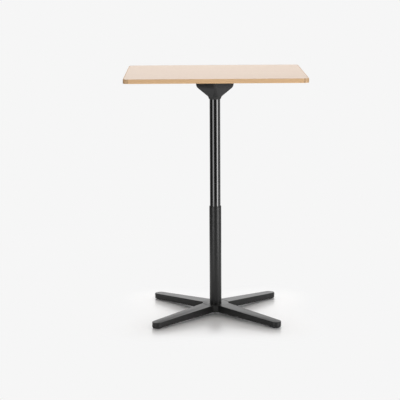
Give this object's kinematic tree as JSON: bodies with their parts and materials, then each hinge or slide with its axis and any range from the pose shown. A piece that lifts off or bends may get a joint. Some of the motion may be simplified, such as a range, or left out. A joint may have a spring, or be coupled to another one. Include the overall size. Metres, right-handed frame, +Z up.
{
  "type": "high table",
  "caption": "High pedestal table with a rectangular wooden top that tilts upright on a hinged head, a telescopic round column and a low base of tapered diagonal arms.",
  "frame": {"origin": "on the floor under the column's axis", "axes": "+Z up, +X along the long side of the top, -Y towards the picture's camera"},
  "size_m": [0.75, 0.64, 1.05],
  "materials": {
    "pale_wood": "satin lacquer on fine straight grain",
    "brown_wood": "satin lacquer on end and side grain",
    "core_board": "raw pressed board",
    "backing": "thin matt balancing veneer",
    "black_coat": "satin black powder coat",
    "black_gloss": "gloss black lacquer",
    "head_coat": "satin black powder coat on a light alloy casting",
    "base_coat": "satin black powder coat on iron castings",
    "steel": "bright zinc plated",
    "alloy": "machined",
    "polymer": "black acetal",
    "rubber": "black rubber"
  },
  "bodies": {
    "base": {"base_beam_upper": "base_coat", "base_beam_lower": "base_coat", "hub_screws": "steel", "lower_tube": "black_coat", "tube_plug": "alloy", "draw_bolt": "steel", "draw_washer": "steel", "guide_bush": "polymer", "gas_spring_rod": "steel", "gas_spring_piston": "alloy"},
    "upper_column": {"upper_tube": "black_gloss", "guide_ring": "polymer", "gas_spring_cylinder": "black_coat", "cylinder_collar": "alloy", "head_shell": "head_coat", "clamp_screws": "steel", "hinge_bolt": "steel", "rubber_buffers": "rubber", "lever_pin": "steel"},
    "top": {"top_core": "core_board", "top_veneer": "pale_wood", "backing_laminate": "backing", "edge_band": "brown_wood", "tilt_plate": "black_coat", "hinge_bush": "polymer", "wood_screws": "steel", "friction_washers": "polymer"},
    "clamp_lever": {"clamp_lever": "polymer"},
    "height_lever": {"height_lever": "black_coat"},
    "release_rod": {"release_rod": "steel"},
    "glide_front_left": {"glide_front_left": "polymer"},
    "glide_front_right": {"glide_front_right": "polymer"},
    "glide_rear_right": {"glide_rear_right": "polymer"},
    "glide_rear_left": {"glide_rear_left": "polymer"}
  },
  "joints": [
    {"name": "column_slide", "type": "slide", "parent": "base", "child": "upper_column", "axis": [0, 0, 1], "range_m": [-0.3, 0]},
    {"name": "top_tilt", "type": "hinge", "parent": "upper_column", "child": "top", "pos_m": [0, 0.053, 0.998], "axis": [-1, 0, 0], "range_deg": [0, 90]},
    {"name": "clamp_turn", "type": "hinge", "parent": "upper_column", "child": "clamp_lever", "pos_m": [-0.0362, 0.053, 0.998], "axis": [1, 0, 0], "range_deg": [0, 30]},
    {"name": "height_press", "type": "hinge", "parent": "upper_column", "child": "height_lever", "pos_m": [-0.045, 0, 1.015], "axis": [0, 1, 0], "range_deg": [0, 5], "stiffness_Nm_per_rad": 20, "springref_deg": -2.86},
    {"name": "release_push", "type": "slide", "parent": "upper_column", "child": "release_rod", "axis": [0, 0, -1], "range_m": [0, 0.0041]},
    {"name": "glide_front_left_turn", "type": "hinge", "parent": "base", "child": "glide_front_left", "pos_m": [-0.2477, -0.2477, 0], "axis": [0, 0, 1], "range_deg": [-360, 360]},
    {"name": "glide_front_right_turn", "type": "hinge", "parent": "base", "child": "glide_front_right", "pos_m": [0.2477, -0.2477, 0], "axis": [0, 0, 1], "range_deg": [-360, 360]},
    {"name": "glide_rear_right_turn", "type": "hinge", "parent": "base", "child": "glide_rear_right", "pos_m": [0.2477, 0.2477, 0], "axis": [0, 0, 1], "range_deg": [-360, 360]},
    {"name": "glide_rear_left_turn", "type": "hinge", "parent": "base", "child": "glide_rear_left", "pos_m": [-0.2477, 0.2477, 0], "axis": [0, 0, 1], "range_deg": [-360, 360]}
  ],
  "couplings": [
    {"joint": "release_push", "follows": "height_press", "m_per_rad": 0.045}
  ]
}
